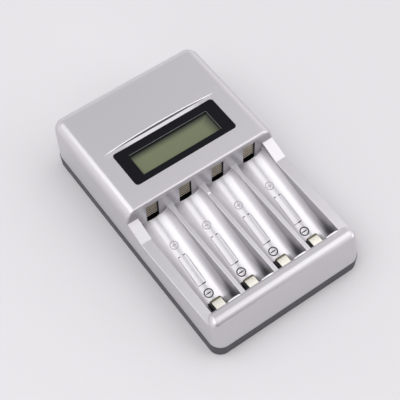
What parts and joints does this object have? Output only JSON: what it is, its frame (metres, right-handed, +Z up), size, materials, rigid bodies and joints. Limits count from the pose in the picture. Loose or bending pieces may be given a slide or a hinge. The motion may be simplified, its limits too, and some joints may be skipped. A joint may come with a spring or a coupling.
{
  "type": "battery charger",
  "caption": "Flat desktop charger for AA cells: a silver cover with sloping round-bottomed bays, sprung sliding contacts, a raised head with a display, and a dark tray.",
  "frame": {"origin": "on the table, under the middle of the case", "axes": "+X to the right, +Y towards the display and the rear, +Z up"},
  "size_m": [0.0754, 0.1238, 0.0288],
  "materials": {
    "silver_paint": "silver paint with a fine flake over moulded ABS, satin",
    "grey_abs": "dark grey moulded ABS, finely textured",
    "black_gloss": "glossy black moulded surround",
    "lcd_glass": "grey-green reflective display glass, switched off",
    "white_plastic": "white moulded frame",
    "tinned_pins": "tinned brass wire",
    "board_green": "glass-fibre board with green solder resist",
    "component_black": "black epoxy packages",
    "ferrite": "dark ferrite drum with a copper winding",
    "capacitor_can": "aluminium can in a dark shrink sleeve",
    "nickel": "nickel-plated spring steel strip",
    "contact_nickel": "bright nickel plate with a warm tint",
    "slider_pom": "black acetal",
    "spring_steel": "bare spring wire",
    "inlet_black": "black moulded inlet body",
    "screw_steel": "zinc-plated self-tapping screws"
  },
  "bodies": {
    "case": {"top_case": "silver_paint", "bottom_case": "grey_abs", "display_bezel": "black_gloss", "lcd_panel": "lcd_glass", "lcd_holder": "white_plastic", "lcd_pins": "tinned_pins", "main_board": "board_green", "controller_chip": "component_black", "inductor": "ferrite", "capacitors": "capacitor_can", "power_transistors": "component_black", "positive_contact_1": "nickel", "positive_contact_2": "nickel", "positive_contact_3": "nickel", "positive_contact_4": "nickel", "contact_spring_1": "spring_steel", "contact_spring_2": "spring_steel", "contact_spring_3": "spring_steel", "contact_spring_4": "spring_steel", "negative_bus": "nickel", "power_inlet": "inlet_black", "case_screws": "screw_steel", "board_screws": "screw_steel"},
    "slider_1": {"contact_slider_1": "slider_pom", "negative_contact_1": "contact_nickel"},
    "slider_2": {"contact_slider_2": "slider_pom", "negative_contact_2": "contact_nickel"},
    "slider_3": {"contact_slider_3": "slider_pom", "negative_contact_3": "contact_nickel"},
    "slider_4": {"contact_slider_4": "slider_pom", "negative_contact_4": "contact_nickel"}
  },
  "joints": [
    {"name": "contact_1_slide", "type": "slide", "parent": "case", "child": "slider_1", "axis": [0, -1, 0], "range_m": [0, 0.006], "stiffness_N_per_m": 300, "springref_m": -0.002, "deforming": ["contact_spring_1"]},
    {"name": "contact_2_slide", "type": "slide", "parent": "case", "child": "slider_2", "axis": [0, -1, 0], "range_m": [0, 0.006], "stiffness_N_per_m": 300, "springref_m": -0.002, "deforming": ["contact_spring_2"]},
    {"name": "contact_3_slide", "type": "slide", "parent": "case", "child": "slider_3", "axis": [0, -1, 0], "range_m": [0, 0.006], "stiffness_N_per_m": 300, "springref_m": -0.002, "deforming": ["contact_spring_3"]},
    {"name": "contact_4_slide", "type": "slide", "parent": "case", "child": "slider_4", "axis": [0, -1, 0], "range_m": [0, 0.006], "stiffness_N_per_m": 300, "springref_m": -0.002, "deforming": ["contact_spring_4"]}
  ]
}
